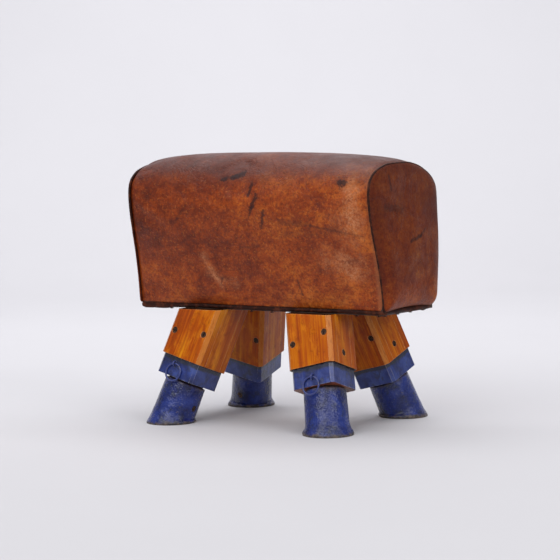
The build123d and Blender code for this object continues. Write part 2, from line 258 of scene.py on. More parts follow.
def make_cover(material):
    """The panel over front, top and back, puckered along its seams."""
    columns, rows = COVER_GRID
    points, normal = cover_points(columns, rows)
    count = points.shape[1]
    flat = points.reshape(-1, 3)
    outward = np.tile(np.hstack((np.zeros((count, 1)), normal)), (columns, 1))
    from_seam = gap_to_seam(flat)
    free = smooth(0.004, 0.03, from_seam)
    low = smooth(0, 0.03, flat[:, 2] - BASE)
    wave = rumples(flat, (0.0011, 9, 1), (0.0005, 26, 2))
    by_seam = (1 - smooth(0.01, 0.05, from_seam)) * smooth(0.001, 0.01, from_seam)
    pucker = rumples(flat * (0.4, 1, 1), (0.0007, 48, 3)) * by_seam
    flat = flat + outward * (wave * free * low + pucker)[:, None]
    edge = 1 - smooth(0, 0.006, flat[:, 2] - BASE)
    flat[:, 2] += rumples(flat * (1, 0, 0), (0.0009, 30, 4)) * edge
    return mesh_piece("cover", flat, grid_faces(columns, count), material)


def panel_outline(count):
    """Closed outline of an end panel: the arch and then the lower edge, which lifts in the middle."""
    over = arch(count)
    y = np.linspace(over[-1, 0], over[0, 0], int(count * LOWER_SHARE) + 2)[1:-1]
    lift = LOWER_LIFT * np.sin((y - y.min()) / (y.max() - y.min()) * pi)
    return np.vstack((over, np.stack((y, lift), axis=1)))


def panel_rings(side, rings, count):
    """Points of an end panel, in rings from its seam inwards."""
    outline = panel_outline(count)
    run = np.roll(outline, -1, axis=0) - outline
    end = ENDS[side]
    points = []
    for ring in range(rings):
        share = (ring / rings) ** PANEL_CROWDING
        level = outline + (np.array(PANEL_MIDDLE) - outline) * share
        gap = level[:, None, :] - outline[None]
        along = np.clip((gap * run).sum(2) / (run**2).sum(1), 0, 1)
        away = np.linalg.norm(gap - run * along[..., None], axis=2).min(1)
        rise = np.clip(1 - (1 - np.clip(away / PANEL_EDGE, 0, 1)) ** 2, 0, 1)
        full = end.low_puff + (end.high_puff - end.low_puff) * smooth(0.08, 0.2, level[:, 1])
        dome = PANEL_DOME * smooth(0.02, 0.12, away)
        x = seam_x(level[:, 1], side) + full * np.sqrt(rise) + dome - PANEL_SUNK
        points.append(np.stack((side * x, level[:, 0], BASE + level[:, 1]), axis=1))
    return points


def make_panel(name, side, material):
    """A puffed end panel, closed in the middle by a fan of triangles."""
    rings, count = PANEL_GRID
    levels = panel_rings(side, rings, count)
    total = len(levels[0])
    flat = np.vstack(levels)
    away_share = np.repeat(np.arange(rings) / rings, total)
    dents = rumples(flat, (0.0016, 14, 5 + side), (0.0006, 38, 8))
    flat[:, 0] += side * dents * smooth(0.05, 0.5, away_share)
    faces = grid_faces(rings, total, wrap_columns=True)
    tip = len(flat)
    middle = (levels[-1][:, 0].mean(), PANEL_MIDDLE[0], BASE + PANEL_MIDDLE[1])
    flat = np.vstack((flat, middle))
    last = (rings - 1) * total
    faces += [(last + j, tip, last + (j + 1) % total) for j in range(total)]
    if side > 0:
        faces = [face[::-1] for face in faces]
    panel = mesh_piece(name, flat, faces, material)
    relax = panel.modifiers.new("relax", "SMOOTH")
    relax.iterations = 3
    relax.factor = 0.5
    return panel


def tube(name, path, radii, sides, material):
    """Closed tube along a looped path, with a radius for each of its points."""
    ahead = np.roll(path, -1, axis=0) - np.roll(path, 1, axis=0)
    ahead /= np.linalg.norm(ahead, axis=1)[:, None]
    across = np.cross(ahead, (1, 0, 0))
    across /= np.linalg.norm(across, axis=1)[:, None]
    other = np.cross(ahead, across)
    vertices = []
    for middle, radius, a, b in zip(path, radii, across, other):
        for side in range(sides):
            angle = 2 * pi * side / sides
            vertices.append(middle + radius * (cos(angle) * a + sin(angle) * b))
    return mesh_piece(name, vertices, grid_faces(len(path), sides, True, True), material)


def make_piping(name, side, material):
    """Welt round an end panel. Low on the left end it is sunk into the seam, where the photo hides it."""
    count, sides = PIPING_GRID
    outline = panel_outline(count)
    hidden = (1 - smooth(*WELT_SHOWS, outline[:, 1])) * (side < 0)
    sunk = WELT_SUNK * hidden
    out = outline + normals_2d(outline, closed=True) * (0.0002 - sunk)[:, None]
    x = seam_x(outline[:, 1], side) + 0.0006
    path = np.stack((side * x, out[:, 0], BASE + out[:, 1]), axis=1)
    radii = PIPING * (1 - 0.4 * hidden + 0.12 * rumple(path, 60, 11))
    return tube(name, path, radii, sides, material)


def make_edging(material):
    """Dark strip nailed round the lower edge, roughly cut, with a flap that sags at the front left."""
    loop = []
    for side, back, start in ((1, -1, -90), (1, 1, 0), (-1, 1, 90), (-1, -1, 180)):
        half_x = side * (seam_x(0, side) + 0.001 - STRIP_CORNER)
        half_y = back * ((SEAM_BACK if back > 0 else SEAM_FRONT)[0][0] - 0.0012 - STRIP_CORNER)
        for step in range(5):
            turn = radians(start + 22.5 * step)
            loop.append((half_x + STRIP_CORNER * cos(turn), half_y + STRIP_CORNER * sin(turn)))
    dense = []
    for a, b in zip(loop, loop[1:] + loop[:1]):
        a, b = np.array(a), np.array(b)
        pieces = max(1, int(np.linalg.norm(b - a) / STRIP_SPACING))
        dense += [a + (b - a) * k / pieces for k in range(pieces)]
    loop = np.array(dense)
    ahead = np.roll(loop, -1, axis=0) - np.roll(loop, 1, axis=0)
    ahead /= np.linalg.norm(ahead, axis=1)[:, None]
    outward = np.stack((ahead[:, 1], -ahead[:, 0]), axis=1)
    ground = np.hstack((loop, np.zeros((len(loop), 1))))
    ragged = rumples(ground, (0.0010, 22, 21), (0.0008, 95, 22))
    front = loop[:, 1] < 0
    flap = FLAP_DROP * front * smooth(*FLAP_BEGINS, loop[:, 0]) * (1 - smooth(*FLAP_ENDS, loop[:, 0]))
    bottom = BASE - STRIP_DROP + 0.0012 * smooth(-0.2, 0.25, loop[:, 0]) + ragged - flap
    near_leg = smooth(0.045, 0.06, abs(loop[:, 0])) * (1 - smooth(0.165, 0.18, abs(loop[:, 0])))
    under = BASE - FLANGE_DROP + 0.0013 * near_leg
    bulge = 0.0006 + rumples(ground, (0.0008, 30, 23))
    # Height and distance out of each ring, from the hidden top edge over the outside to the flange below.
    profile = (
        (np.full(len(loop), BASE + 0.003), -0.0035 + 0 * bulge),
        (np.full(len(loop), BASE + 0.0002), -0.0008 + bulge),
        ((bottom + BASE) / 2, bulge + 0.0006),
        (bottom, bulge),
        ((bottom + under) / 2, bulge - 0.0022),
        (under, -0.006 + 0 * bulge),
        (under, -0.016 + 0 * bulge),
    )
    rings = [np.hstack((loop + outward * off[:, None], height[:, None])) for height, off in profile]
    total = len(loop)
    flat = np.stack(rings, axis=0).reshape(-1, 3)
    faces = grid_faces(len(profile), total, wrap_columns=True)
    edging = mesh_piece("edging", flat, faces, material)
    thick = edging.modifiers.new("thickness", "SOLIDIFY")
    thick.thickness = STRIP_THICKNESS
    thick.offset = -1
    return edging


def settle(piece, held):
    """Lets a leather panel settle under stuffing pressure, each point moving no further than MOST_MOVE."""
    rest = np.array([v.co for v in piece.data.vertices])
    group = piece.vertex_groups.new(name="held")
    for index, weight in enumerate(held):
        if weight > 0:
            group.add([index], float(weight), "REPLACE")
    cloth = piece.modifiers.new("cloth", "CLOTH")
    settings = cloth.settings
    settings.quality = 6
    settings.mass = 0.9
    settings.tension_stiffness = settings.compression_stiffness = 30
    settings.shear_stiffness = 12
    settings.bending_stiffness = 6
    settings.vertex_group_mass = "held"
    settings.use_pressure = True
    settings.uniform_pressure_force = STUFFING
    settings.effector_weights.gravity = 0
    cloth.collision_settings.use_collision = False
    cloth.collision_settings.use_self_collision = False
    cloth.point_cache.frame_start = 1
    cloth.point_cache.frame_end = SETTLE_FRAMES
    scene = bpy.context.scene
    for step in range(1, SETTLE_FRAMES + 1):
        scene.frame_set(step)
    solved = piece.evaluated_get(bpy.context.evaluated_depsgraph_get())
    moved = np.array([v.co for v in solved.data.vertices]) - rest
    piece.modifiers.remove(cloth)
    scene.frame_set(1)
    length = np.linalg.norm(moved, axis=1)
    moved *= (np.minimum(length, MOST_MOVE) / np.maximum(length, 1e-9))[:, None]
    piece.data.vertices.foreach_set("co", (rest + moved).ravel())
    piece.data.update()


# Materials


def rgb(red, green, blue):
    """Display colour as the linear one that shaders take."""
    shown = (red / 255, green / 255, blue / 255)
    return (*(c / 12.92 if c <= 0.04045 else ((c + 0.055) / 1.055) ** 2.4 for c in shown), 1.0)


class Shade:
    """A material, with short ways to add nodes to it."""

    def __init__(self, name):
        self.material = bpy.data.materials.new(name)
        self.material.use_nodes = True
        self.tree = self.material.node_tree
        self.shader = self.tree.nodes["Principled BSDF"]
        self.place = self.put("TexCoord").outputs["Object"]

    def fill(self, socket, value):
        if isinstance(value, bpy.types.NodeSocket):
            self.tree.links.new(value, socket)
        else:
            socket.default_value = value

    def put(self, kind, inputs=None, **settings):
        node = self.tree.nodes.new("ShaderNode" + kind)
        for name, value in settings.items():
            setattr(node, name, value)
        for key, value in (inputs or {}).items():
            self.fill(node.inputs[key], value)
        return node

    def maths(self, operation, a, b=0.0, clamp=False):
        return self.put("Math", {0: a, 1: b}, operation=operation, use_clamp=clamp).outputs[0]

    def vector(self, operation, a, b=(0, 0, 0), out=0):
        return self.put("VectorMath", {0: a, 1: b}, operation=operation).outputs[out]

    def mix(self, share, a, b, blend="MIX"):
        node = self.put("Mix", {0: share, 6: a, 7: b}, data_type="RGBA", blend_type=blend)
        return node.outputs[2]

    def step(self, value, low, high, out_low=0.0, out_high=1.0):
        inputs = {"Value": value, "From Min": low, "From Max": high, "To Min": out_low, "To Max": out_high}
        return self.put("MapRange", inputs, interpolation_type="SMOOTHSTEP").outputs[0]

    def noise(self, scale, detail=4.0, rough=0.55, distort=0.0, place=None):
        inputs = {"Vector": place or self.place, "Scale": scale, "Detail": detail}
        inputs |= {"Roughness": rough, "Distortion": distort}
        return self.put("TexNoise", inputs).outputs["Fac"]

    def cells(self, scale, feature="F1"):
        inputs = {"Vector": self.place, "Scale": scale}
        return self.put("TexVoronoi", inputs, feature=feature).outputs["Distance"]

    def stretch(self, scale, shift=(0, 0, 0), place=None):
        inputs = {"Vector": place or self.place, "Location": shift, "Scale": scale}
        return self.put("Mapping", inputs).outputs[0]

    def ramp(self, value, *stops):
        node = self.put("ValToRGB", {0: value})
        elements = node.color_ramp.elements
        while len(elements) < len(stops):
            elements.new(0.5)
        for element, (place, colour) in zip(elements, stops):
            element.position = place
            element.color = colour
        return node.outputs[0]

    def stroke(self, a, b, radius, flatten, ragged):
        """1 within a stroke from a to b and 0 outside it, with only the axes in flatten measured."""
        a, b = Vector(a) * Vector(flatten), Vector(b) * Vector(flatten)
        run = b - a
        gap = self.vector("SUBTRACT", self.vector("MULTIPLY", self.place, flatten), a)
        reach = self.vector("DOT_PRODUCT", gap, run, "Value")
        share = self.maths("MULTIPLY", reach, 1 / max(run.length_squared, 1e-9), True)
        along = self.put("VectorMath", {0: run, "Scale": share}, operation="SCALE").outputs[0]
        away = self.vector("LENGTH", self.vector("SUBTRACT", gap, along), out="Value")
        wobble = self.noise(190, 5, 0.7) if ragged else self.noise(60, 6, 0.75)
        wobble = self.maths("MULTIPLY", self.maths("SUBTRACT", wobble, 0.5), radius * 3.4)
        core, fade = (0.4, 1.3) if ragged else (-0.6, 1.9)
        mask = self.step(self.maths("ADD", away, wobble), radius * core, radius * fade, 1.0, 0.0)
        if ragged:
            return mask
        return self.maths("MULTIPLY", mask, self.step(self.noise(230, 5, 0.75), 0.4, 0.6, 0.3, 1.25))

    def finish(self, colour, roughness, *bumps, normal=None, **values):
        """Fills in the shader. Each bump is (height, depth in metres), laid on the one before."""
        for height, depth in bumps:
            inputs = {"Height": height, "Distance": depth, "Strength": 1.0}
            if normal is not None:
                inputs["Normal"] = normal
            normal = self.put("Bump", inputs).outputs[0]
        self.fill(self.shader.inputs["Base Color"], colour)
        self.fill(self.shader.inputs["Roughness"], roughness)
        if normal is not None:
            self.fill(self.shader.inputs["Normal"], normal)
            self.fill(self.shader.inputs["Coat Normal"], normal)
        for name, value in values.items():
            self.fill(self.shader.inputs[name.replace("_", " ")], value)
        return self.material


# Marks on the leather: from, to, radius, the axes that its face of the body lies in, and strength.
FRONT = (1, 0, 1)
END = (0, 1, 1)
DARK_MARKS = (
    ((-0.030, 0, 0.4430), (-0.009, 0, 0.4485), 0.0052, FRONT, 0.85),
    ((-0.050, 0, 0.4385), (-0.045, 0, 0.4415), 0.0046, FRONT, 0.8),
    ((-0.046, 0, 0.440), (-0.022, 0, 0.446), 0.0030, FRONT, 0.45),
    ((0.013, 0, 0.432), (0.0085, 0, 0.412), 0.0036, FRONT, 0.75),
    ((0.0245, 0, 0.412), (0.017, 0, 0.390), 0.0044, FRONT, 0.8),
    ((0.015, 0, 0.391), (0.0108, 0, 0.376), 0.0036, FRONT, 0.7),
    ((0.041, 0, 0.385), (0.033, 0, 0.356), 0.0034, FRONT, 0.7),
    ((0.192, 0, 0.4345), (0.201, 0, 0.4335), 0.0074, FRONT, 0.85),
    ((0.0925, 0, 0.262), (0.0995, 0, 0.236), 0.0018, FRONT, 0.55),
    ((0.072, 0, 0.3655), (0.133, 0, 0.3605), 0.0060, FRONT, 0.34),
    ((0.133, 0, 0.3605), (0.237, 0, 0.3415), 0.0022, FRONT, 0.36),
    ((0.080, 0, 0.345), (0.190, 0, 0.352), 0.0090, FRONT, 0.22),
    ((-0.020, 0, 0.319), (0.022, 0, 0.322), 0.0026, FRONT, 0.35),
    ((-0.150, 0, 0.365), (-0.128, 0, 0.392), 0.0030, FRONT, 0.35),
    ((-0.072, 0, 0.252), (-0.066, 0, 0.264), 0.0018, FRONT, 0.4),
    ((0, -0.0686, 0.4456), (0, -0.0633, 0.420), 0.0026, END, 0.6),
    ((0, -0.0155, 0.3295), (0, 0.0243, 0.338), 0.0032, END, 0.7),
    ((0, 0.020, 0.337), (0, 0.040, 0.348), 0.0024, END, 0.55),
    ((0, -0.083, 0.391), (0, -0.032, 0.386), 0.0080, END, 0.4),
)
# Pale marks: the first three are a scuff on the front left; the last four, near the right seam, are painted
# highlights of the lamps' sheen.
SCUFFS_AND_SHEEN = (
    ((-0.103, 0, 0.300), (-0.090, 0, 0.270), 0.0078, FRONT, 0.36),
    ((-0.090, 0, 0.276), (-0.070, 0, 0.246), 0.0046, FRONT, 0.36),
    ((-0.080, 0, 0.262), (-0.040, 0, 0.252), 0.0085, FRONT, 0.2),
    ((0.214, 0, 0.424), (0.222, 0, 0.360), 0.0145, FRONT, 0.6),
    ((0.160, 0, 0.300), (0.215, 0, 0.283), 0.019, FRONT, 0.32),
    ((0.192, 0, 0.304), (0.204, 0, 0.274), 0.012, FRONT, 0.36),
    ((0.19, 0, 0.37), (0.215, 0, 0.33), 0.018, FRONT, 0.22),
)


def saddle_leather(end):
    """Cognac leather, mottled by wax and wear, with the marks of the cover or of an end panel, painted shade
    over the shoulder and in the end panels' seam folds, and painted light towards the right end and near the
    right seam.
    """
    s = Shade("end_leather" if end else "cover_leather")
    x, y, z = s.put("SeparateXYZ", {0: s.place}).outputs
    cloud = s.noise(9.5, 8, 0.7, 0.6)
    streak = s.noise(1.0, 6, 0.66, 0.5, s.stretch((9, 9, 26)))
    fine = s.noise(75, 6, 0.72, 0.3)
    tone = s.maths("ADD", s.maths("MULTIPLY", cloud, 0.42), s.maths("MULTIPLY", streak, 0.26))
    tone = s.maths("ADD", tone, s.maths("MULTIPLY", fine, 0.32))
    # Lighter towards the right and darker towards the left: painted light, the right half lit more by the
    # side lamp.
    right = s.step(x, -0.2, 0.2, -0.045, 0.04)
    low = s.step(z, 0.225, 0.29, 0.03, 0.0)
    tone = s.maths("ADD", s.maths("ADD", tone, right), low)
    colour = s.ramp(
        tone,
        (0.37, rgb(70, 19, 5)),
        (0.45, rgb(114, 41, 7)),
        (0.52, rgb(146, 60, 11)),
        (0.59, rgb(175, 86, 22)),
        (0.69, rgb(200, 121, 50)),
    )
    patch = s.step(s.noise(13, 6, 0.62, 0.6), 0.5, 0.66)
    colour = s.mix(s.maths("MULTIPLY", patch, 0.45), colour, rgb(96, 30, 14))
    fleck = s.step(s.noise(210, 5, 0.75), 0.44, 0.64, 0.0, 0.6)
    colour = s.mix(fleck, colour, rgb(80, 26, 9))
    rubbed = s.step(s.noise(260, 4, 0.7), 0.55, 0.68, 0.0, 0.32)
    colour = s.mix(rubbed, colour, rgb(204, 122, 54))
    specks = s.step(s.cells(70), 0.12, 0.05, 0.0, 0.35)
    colour = s.mix(specks, colour, rgb(58, 22, 12))
    # Darker over the shoulder and the top: painted shade on the rounded shoulder.
    uneven = s.maths("ADD", z, s.maths("MULTIPLY", cloud, 0.07))
    shoulder = s.step(uneven, 0.452, 0.496, 0.0, 0.35 if end else 0.68)
    colour = s.mix(shoulder, colour, rgb(62, 26, 19))
    if not end:
        # A darker band along the foot of the shoulder on the right half of the cover.
        right_shoulder_band = s.maths("MULTIPLY", s.step(x, 0.06, 0.2), s.step(z, 0.455, 0.475, 0.0, 0.5))
        colour = s.mix(right_shoulder_band, colour, rgb(44, 18, 14))
    if end:
        # Darker where the puffed end panel folds in to its seam: painted shade in the fold.
        dirt_and_shade = s.step(s.maths("ABSOLUTE", x), SEAM + 0.012, SEAM - 0.004, 0.0, 0.6)
        colour = s.mix(dirt_and_shade, colour, rgb(58, 20, 12))
        from_middle = s.maths("ABSOLUTE", s.maths("SUBTRACT", z, 0.335))
        colour = s.mix(s.step(from_middle, 0.04, 0.12, 0.62, 0.22), colour, rgb(62, 14, 5))
    else:
        # Lighter strip where the cover rolls in to the right seam: a painted highlight.
        rolled_edge_highlight = s.step(x, SEAM - 0.014, SEAM - 0.006, 0.0, 0.36)
        colour = s.mix(rolled_edge_highlight, colour, rgb(190, 118, 74))
    kinds = (False, SCUFFS_AND_SHEEN, rgb(202, 136, 92)), (True, DARK_MARKS, rgb(34, 14, 16))
    for ragged, marks, tint in kinds:
        for a, b, radius, flatten, strength in marks:
            if end == (flatten == END):
                facing = s.maths("GREATER_THAN", x, 0.0) if end else s.maths("LESS_THAN", y, -0.03)
                mask = s.maths("MULTIPLY", s.stroke(a, b, radius, flatten, ragged), facing)
                colour = s.mix(s.maths("MULTIPLY", mask, strength), colour, tint)
    grain = s.cells(620, "DISTANCE_TO_EDGE")
    pebble = s.noise(240, 5, 0.6)
    crease = s.maths("ABSOLUTE", s.maths("SUBTRACT", s.noise(17, 6, 0.6, 1.2), 0.5))
    crease = s.step(crease, 0.0, 0.028)
    swell = s.noise(11, 3, 0.5)
    rough = s.step(s.noise(24, 4, 0.6), 0.3, 0.7, 0.36, 0.52)
    bumps = (swell, 0.005), (crease, 0.00028), (pebble, 0.0006), (grain, 0.00022)
    gloss = 0.14 if end else 0.24
    return s.finish(colour, rough, *bumps, Coat_Weight=0.04, Coat_Roughness=0.25, Specular_IOR_Level=gloss)


def dark_leather():
    """Near-black leather of the welts and the lower edging, rubbed brown in places."""
    s = Shade("dark_leather")
    rub = s.step(s.noise(75, 5, 0.68), 0.46, 0.64)
    colour = s.mix(s.maths("MULTIPLY", rub, 0.6), rgb(42, 18, 12), rgb(98, 48, 28))
    rough = s.step(s.noise(40), 0.3, 0.7, 0.42, 0.7)
    bumps = (s.noise(160, 5, 0.65), 0.0006), (s.noise(700, 3), 0.0002)
    return s.finish(colour, rough, *bumps, Specular_IOR_Level=0.14)


SOFT_CORNER = 0.0022


def leg_frame(name):
    """The leg's own frame: its Z up the leg from the middle of its foot."""
    mount = next(m for m in frame["record"]["mounts"] if m["name"] == f"{name}_foot_base")
    origin = Vector(mount["pos_m"])
    post = np.array([v.co for v in nodes[f"{name}_post"].data.vertices])
    top = post[post[:, 2] > post[:, 2].max() - 1e-4]
    middle = Vector((top.min(0) + top.max(0)) / 2)
    up = (middle - origin).normalized()
    along = (Vector((1, 0, 0)) - up * up.x).normalized()
    return Matrix((along, up.cross(along), up)), origin


class LegShade(Shade):
    """A material in a leg's own frame, shifted so that no two legs look alike, with masks for its edges."""

    def __init__(self, name, leg):
        super().__init__(f"{name}_{leg}")
        self.turn, origin = leg_frame(leg)
        angles = self.turn.to_euler()
        inputs = {"Vector": self.place, "Location": -(self.turn @ origin), "Rotation": angles}
        up_the_leg = self.put("Mapping", inputs).outputs[0]
        self.height = self.put("SeparateXYZ", {0: up_the_leg}).outputs[2]
        self.soft = self.put("Bevel", {"Radius": SOFT_CORNER}, samples=6).outputs[0]
        self.true = self.put("NewGeometry").outputs["Normal"]
        alike = self.vector("DOT_PRODUCT", self.soft, self.true, "Value")
        self.edge = self.step(alike, 0.995, 0.93)
        seed = 1.7 * LEGS.index(leg) + 0.4
        self.place = self.stretch((1, 1, 1), (seed, seed * 0.6, seed * 1.3), up_the_leg)

    def facing(self, axis):
        """How far a face points along one of the leg's axes, either way."""
        return self.maths("ABSOLUTE", self.vector("DOT_PRODUCT", self.true, self.turn[axis], "Value"))


def varnished_wood(leg):
    """Orange varnished pine, grain up the leg and rubbed pale along the chamfers."""
    s = LegShade("varnished_wood", leg)
    fibre = s.noise(1.0, 5, 0.66, 0.0, s.stretch((300, 300, 8)))
    drift = s.noise(1.0, 3, 0.5, 0.3, s.stretch((26, 26, 5)))
    warp = s.put("TexNoise", {"Vector": s.place, "Scale": 9.0, "Detail": 3.0}).outputs["Color"]
    upright = s.vector("MULTIPLY", s.place, (1, 1, 0.05))
    warped = s.vector("ADD", upright, s.vector("MULTIPLY", warp, (0.03, 0.03, 0.0)))
    inputs = {"Vector": warped, "Scale": 27.0, "Distortion": 2.5, "Detail": 3.0, "Detail Scale": 2.0}
    rings = s.put("TexWave", inputs, wave_type="RINGS", rings_direction="Z").outputs["Fac"]
    line = s.step(rings, 0.55, 1.0)
    tone = s.maths("ADD", s.maths("MULTIPLY", drift, 0.52), s.maths("MULTIPLY", fibre, 0.48))
    colour = s.ramp(
        tone,
        (0.36, rgb(206, 128, 6)),
        (0.46, rgb(186, 96, 0)),
        (0.54, rgb(166, 72, 0)),
        (0.66, rgb(126, 48, 0)),
    )
    faint = s.maths("MULTIPLY", line, s.step(s.noise(11, 3, 0.5), 0.4, 0.6, 0.1, 0.5))
    colour = s.mix(faint, colour, rgb(140, 56, 2))
    mottle = s.noise(1.0, 6, 0.68, 0.2, s.stretch((60, 60, 26)))
    glow = s.step(mottle, 0.5, 0.66, 0.0, 0.32)
    colour = s.mix(glow, colour, rgb(230, 142, 12))
    # Dark patches of dirt in the varnish.
    dirt_and_shade = s.step(s.noise(70, 6, 0.72, 0.3), 0.53, 0.68, 0.0, 0.5)
    colour = s.mix(dirt_and_shade, colour, rgb(118, 46, 2))
    lower, side = s.facing(0), s.facing(1)
    corner = s.step(s.maths("MINIMUM", lower, side), 0.3, 0.55)
    scuff = s.step(s.noise(1.0, 4, 0.7, 0.0, s.stretch((160, 160, 30))), 0.3, 0.6, 0.45, 1.0)
    colour = s.mix(s.maths("MULTIPLY", corner, scuff), colour, rgb(192, 116, 46))
    smudge = s.step(s.noise(1.0, 5, 0.7, 0.0, s.stretch((240, 240, 60), (3, 1, 2))), 0.52, 0.62, 0.0, 0.6)
    colour = s.mix(s.maths("MULTIPLY", corner, smudge), colour, rgb(150, 76, 20))
    worn = s.maths("MULTIPLY", s.edge, s.step(s.noise(120, 3, 0.6), 0.35, 0.6))
    colour = s.mix(s.maths("MULTIPLY", worn, 0.55), colour, rgb(216, 158, 104))
    # End grain is painted near black: darker end grain, and painted shade on the sleeve tops under the body.
    end_grain_and_shade = s.step(s.facing(2), 0.6, 0.9)
    colour = s.mix(s.maths("MULTIPLY", end_grain_and_shade, 0.95), colour, rgb(34, 17, 10))
    rough = s.step(s.noise(34, 4, 0.6), 0.3, 0.7, 0.3, 0.46)
    bumps = (fibre, 0.00012), (line, 0.00006), (s.noise(14, 2, 0.5), 0.0012)
    return s.finish(
        colour, rough, *bumps, normal=s.soft, Coat_Weight=0.08, Coat_Roughness=0.12, Specular_IOR_Level=0.16
    )


def painted_wood(leg):
    """Blue paint on the leg's block, worn along the corners and bare wood underneath, with painted highlights
    on the corners and a painted shadow under the sleeve.
    """
    s = LegShade("painted_wood", leg)
    tone = s.noise(22, 5, 0.6, 0.3)
    colour = s.ramp(tone, (0.36, rgb(18, 28, 74)), (0.5, rgb(28, 46, 114)), (0.64, rgb(52, 72, 140)))
    ragged = s.maths("MULTIPLY", s.noise(60, 4, 0.6), 0.012)
    # A dark band along the top of the block: painted shadow under the overhanging sleeve, laid with patches
    # of grime.
    top = s.step(s.maths("ADD", s.height, ragged), 0.1105, 0.1145)
    grime_and_shade = s.maths("MAXIMUM", top, s.step(s.noise(52, 6, 0.7, 0.4), 0.52, 0.62, 0.0, 0.7))
    colour = s.mix(s.maths("MULTIPLY", grime_and_shade, 0.88), colour, rgb(30, 32, 42))
    # Pale lines along the block's corners: chipped paint, and painted highlights on the corners.
    chipped = s.step(s.noise(1.0, 4, 0.6, 0.0, s.stretch((130, 130, 60))), 0.42, 0.58)
    chips_and_edge_highlights = s.maths("MULTIPLY", s.edge, chipped)
    colour = s.mix(s.maths("MULTIPLY", chips_and_edge_highlights, 0.75), colour, rgb(150, 152, 172))
    under = s.step(s.vector("DOT_PRODUCT", s.true, s.turn[2], "Value"), -0.5, -0.85)
    bare = s.mix(s.step(s.noise(40, 4, 0.6), 0.4, 0.62), rgb(150, 78, 48), rgb(92, 50, 36))
    colour = s.mix(under, colour, bare)
    rough = s.step(tone, 0.3, 0.7, 0.26, 0.42)
    brush = s.noise(1.0, 4, 0.6, 0.0, s.stretch((180, 180, 26)))
    bumps = (brush, 0.0004), (s.noise(70, 5, 0.65), 0.0014)
    return s.finish(colour, rough, *bumps, normal=s.soft, Coat_Weight=0.3, Coat_Roughness=0.2)


def painted_iron(leg):
    """Thick blue paint over rough cast iron, worn to the metal round the rims."""
    s = LegShade("painted_iron", leg)
    tone = s.noise(26, 5, 0.62, 0.4)
    colour = s.ramp(tone, (0.36, rgb(10, 19, 66)), (0.5, rgb(18, 34, 102)), (0.66, rgb(34, 53, 128)))
    # Dark patches of grime on the paint.
    grime_and_shade = s.step(s.noise(44, 7, 0.74, 0.5), 0.52, 0.64, 0.0, 0.7)
    colour = s.mix(grime_and_shade, colour, rgb(30, 36, 48))
    speckle = s.step(s.noise(330, 3, 0.7), 0.56, 0.66, 0.0, 0.35)
    colour = s.mix(speckle, colour, rgb(80, 94, 146))
    ragged = s.maths("MULTIPLY", s.maths("SUBTRACT", s.noise(70, 5, 0.7), 0.5), 0.03)
    level = s.maths("ADD", s.height, ragged)
    world = s.put("SeparateXYZ", {0: s.put("TexCoord").outputs["Object"]}).outputs[2]
    rim = s.step(s.maths("ADD", world, s.maths("MULTIPLY", ragged, 0.7)), 0.008, 0.002)
    lip = s.step(level, 0.068, 0.078, 0.0, 0.75)
    worn = s.maths("MAXIMUM", rim, lip)
    chips = s.step(s.cells(150), 0.16, 0.1, 0.0, 1.0)
    chips = s.maths("MULTIPLY", chips, s.step(s.noise(34, 3, 0.6), 0.52, 0.64))
    worn = s.maths("MAXIMUM", worn, chips)
    iron = s.mix(s.step(s.noise(130, 5, 0.7), 0.4, 0.62), rgb(38, 36, 40), rgb(96, 82, 74))
    colour = s.mix(worn, colour, iron)
    rough = s.mix(worn, (0.26, 0.26, 0.26, 1), (0.62, 0.62, 0.62, 1))
    cast, sand, paint = s.noise(34, 4, 0.55), s.noise(300, 3, 0.5), s.maths("SUBTRACT", 1.0, worn)
    bumps = (cast, 0.0045), (sand, 0.001), (paint, 0.0002)
    return s.finish(
        colour, rough, *bumps, normal=s.soft, Coat_Weight=0.42, Coat_Roughness=0.16, Specular_IOR_Level=0.3
    )


def painted_wire():
    """Blue paint on iron wire, rubbed through where the ring swings."""
    s = Shade("painted_wire")
    rub = s.step(s.noise(260, 4, 0.65), 0.52, 0.66)
    colour = s.mix(rub, rgb(46, 58, 118), rgb(66, 58, 58))
    return s.finish(colour, 0.38, (s.noise(500, 4), 0.0003), Coat_Weight=0.25, Coat_Roughness=0.2)


def dark_steel():
    """Old screws, browned by dirt and varnish."""
    s = Shade("dark_steel")
    colour = s.mix(s.step(s.noise(420, 4, 0.6), 0.4, 0.65), rgb(44, 30, 24), rgb(94, 70, 56))
    rough = s.step(s.noise(300), 0.3, 0.7, 0.35, 0.62)
    return s.finish(colour, rough, (s.noise(800, 3), 0.0002), Metallic=0.75)


def frame_wood(name, light, dark):
    """Plain boards under and inside the body."""
    s = Shade(name)
    grain = s.noise(1.0, 5, 0.6, 0.2, s.stretch((9, 260, 260)))
    colour = s.ramp(grain, (0.3, light), (0.6, dark))
    stain = s.step(s.noise(16, 5, 0.6), 0.5, 0.7, 0.0, 0.5)
    colour = s.mix(stain, colour, rgb(54, 40, 30))
    return s.finish(colour, 0.68, (grain, 0.0003))


def repaint(node, material):
    piece = nodes[node]
    piece.data.materials.clear()
    piece.data.materials.append(material)


# The object

welt, end_leather = dark_leather(), saddle_leather(True)
cover = make_cover(saddle_leather(False))
panels = {name: make_panel(f"panel_{name}", side, end_leather) for name, side in SIDES}
pipings = {name: make_piping(f"welt_{name}", side, welt) for name, side in SIDES}
edging = make_edging(welt)

rest = np.array([v.co for v in cover.data.vertices])
seam_gap = gap_to_seam(rest)
by_seam = 1 - smooth(*HELD_BY_SEAM, seam_gap)
by_edge = 1 - smooth(*HELD_BY_EDGE, rest[:, 2] - BASE)
settle(cover, np.maximum(by_seam, by_edge))

